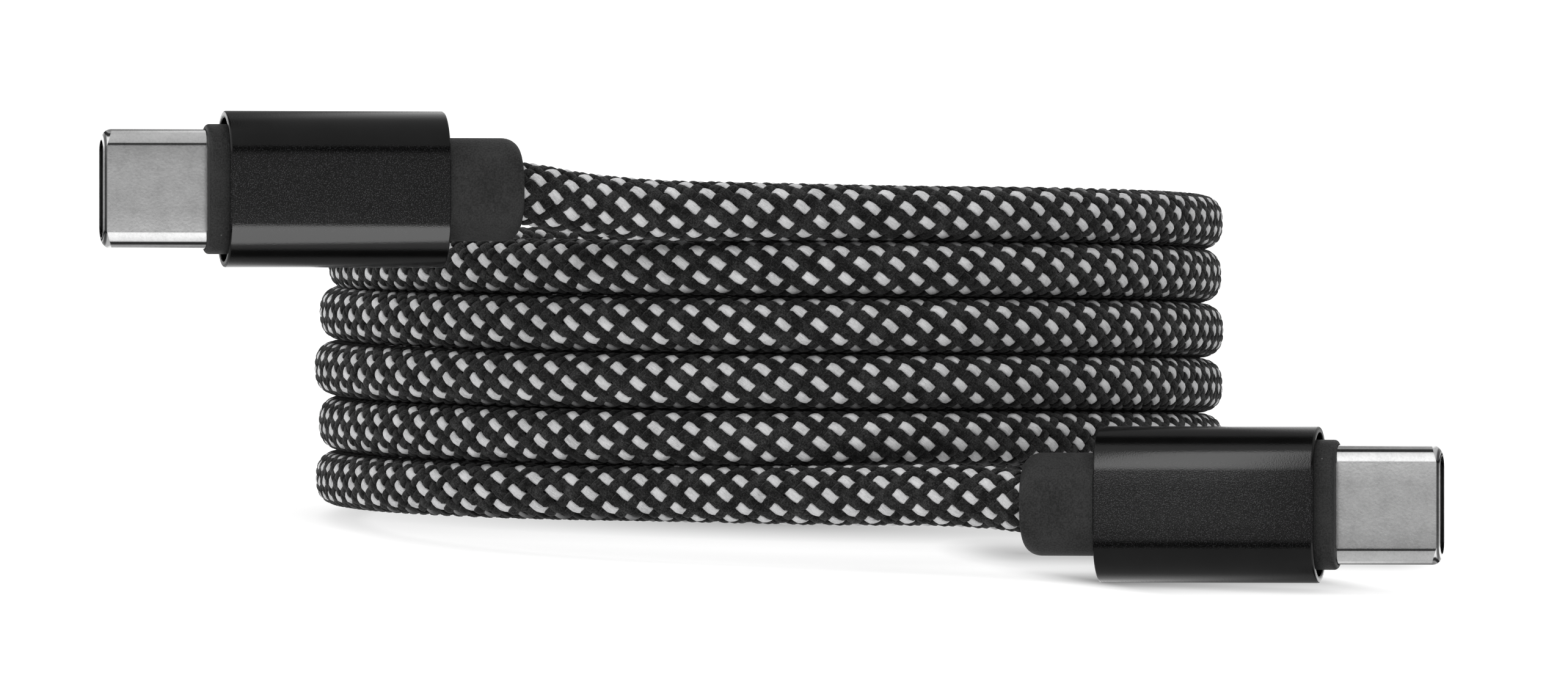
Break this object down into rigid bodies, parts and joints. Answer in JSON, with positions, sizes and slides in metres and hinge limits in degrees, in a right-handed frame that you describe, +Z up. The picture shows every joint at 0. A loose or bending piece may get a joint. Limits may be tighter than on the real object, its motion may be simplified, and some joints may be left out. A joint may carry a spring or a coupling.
{
  "type": "charging cable",
  "caption": "Braided charging cable wound into one layer of standing turns, with a metal-sleeved reversible plug leaving at each end on opposite sides.",
  "frame": {"origin": "on the surface that the cable stands on, under the middle of the box round the two plugs", "axes": "+X runs from plug A to plug B, +Y from the plugs back to the coil, +Z up; the coil's axis leans about 5 degrees, because the part stands on one plug and on the back of its coil"},
  "size_m": [0.0936, 0.0754, 0.0313],
  "materials": {
    "shell_steel": "nickel-plated drawn steel, satin flat sides and bright rolled edges",
    "inner_steel": "tinned sheet steel",
    "contact_gold": "gold plate",
    "moulded_black": "fine matte moulding",
    "sleeve_black": "bead-blasted, black anodised",
    "relief_black": "soft matte moulding",
    "mould_inner": "dark moulding, nearly all hidden",
    "board_green": "solder resist, hidden",
    "ferrule_brass": "pressed brass, hidden",
    "wire_red": "wire insulation, hidden",
    "wire_black": "wire insulation, hidden",
    "wire_blue": "wire insulation, hidden",
    "wire_green": "wire insulation, hidden",
    "wire_white": "wire insulation, hidden",
    "braid_dark": "black textile braid",
    "braid_light": "light grey strands of the braid"
  },
  "bodies": {
    "root": {"plug_shell_a": "shell_steel", "plug_housing_a": "moulded_black", "contacts_upper_a": "contact_gold", "contact_wafer_upper_a": "moulded_black", "ground_spring_upper_a": "inner_steel", "contacts_lower_a": "contact_gold", "contact_wafer_lower_a": "moulded_black", "ground_spring_lower_a": "inner_steel", "latch_plate_a": "inner_steel", "paddle_card_a": "board_green", "shield_can_a": "inner_steel", "inner_mould_a": "mould_inner", "front_collar_a": "moulded_black", "sleeve_a": "sleeve_black", "strain_relief_a": "relief_black", "crimp_ferrule_a": "ferrule_brass", "cable_end_a": "braid_dark", "wire_power_a": "wire_red", "wire_ground_a": "wire_black", "wire_cc_a": "wire_blue", "wire_data_plus_a": "wire_green", "wire_data_minus_a": "wire_white", "plug_shell_b": "shell_steel", "plug_housing_b": "moulded_black", "contacts_upper_b": "contact_gold", "contact_wafer_upper_b": "moulded_black", "ground_spring_upper_b": "inner_steel", "contacts_lower_b": "contact_gold", "contact_wafer_lower_b": "moulded_black", "ground_spring_lower_b": "inner_steel", "latch_plate_b": "inner_steel", "paddle_card_b": "board_green", "shield_can_b": "inner_steel", "inner_mould_b": "mould_inner", "front_collar_b": "moulded_black", "sleeve_b": "sleeve_black", "strain_relief_b": "relief_black", "crimp_ferrule_b": "ferrule_brass", "cable_end_b": "braid_dark", "wire_power_b": "wire_red", "wire_ground_b": "wire_black", "wire_cc_b": "wire_blue", "wire_data_plus_b": "wire_green", "wire_data_minus_b": "wire_white", "marker_chip_a": "moulded_black", "cable_coil": "braid_dark", "cable_lead_a": "braid_dark", "cable_lead_b": "braid_dark"}
  },
  "joints": []
}
